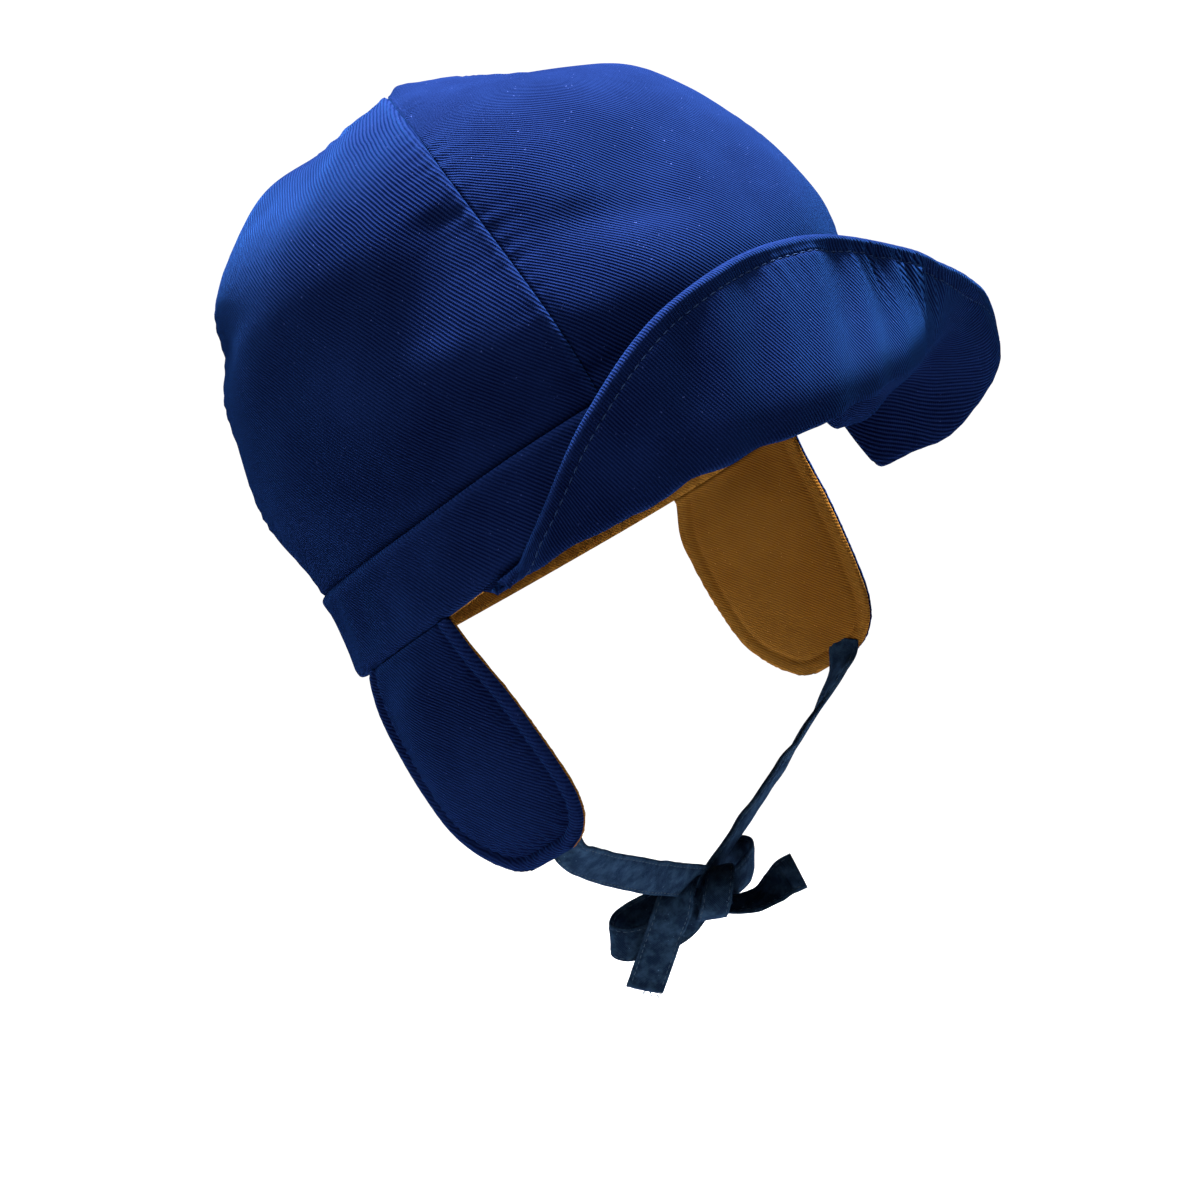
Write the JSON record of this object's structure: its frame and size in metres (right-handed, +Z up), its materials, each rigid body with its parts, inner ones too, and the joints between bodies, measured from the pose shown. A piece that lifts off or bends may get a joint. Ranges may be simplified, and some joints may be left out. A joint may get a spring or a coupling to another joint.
{
  "type": "winter hat",
  "caption": "Lined twill winter cap with a soft turned-up peak, padded earflaps and cloth chin ties knotted in a bow, shaped as worn on a head.",
  "frame": {"origin": "centre of the head opening, at the middle of the cap's rim", "axes": "+Z up, -Y to the front where the peak is, -X to the wearer's right; the cap is tilted back 37.5 degrees about X, as worn"},
  "size_m": [0.223, 0.2175, 0.2917],
  "materials": {
    "twill_blue": "woven cotton twill",
    "lining_gold": "smooth lining cloth",
    "tie_slate": "faded twill tape"
  },
  "bodies": {
    "root": {"crown_front_panel": "twill_blue", "crown_side_panel_right": "twill_blue", "crown_side_panel_left": "twill_blue", "crown_back_panel": "twill_blue", "band": "twill_blue", "peak": "twill_blue", "earflap_right": "twill_blue", "earflap_left": "twill_blue", "lining_crown": "lining_gold", "lining_flap_right": "lining_gold", "lining_flap_left": "lining_gold", "chin_tie_right": "tie_slate", "chin_tie_left": "tie_slate", "chin_bow": "tie_slate"}
  },
  "joints": []
}
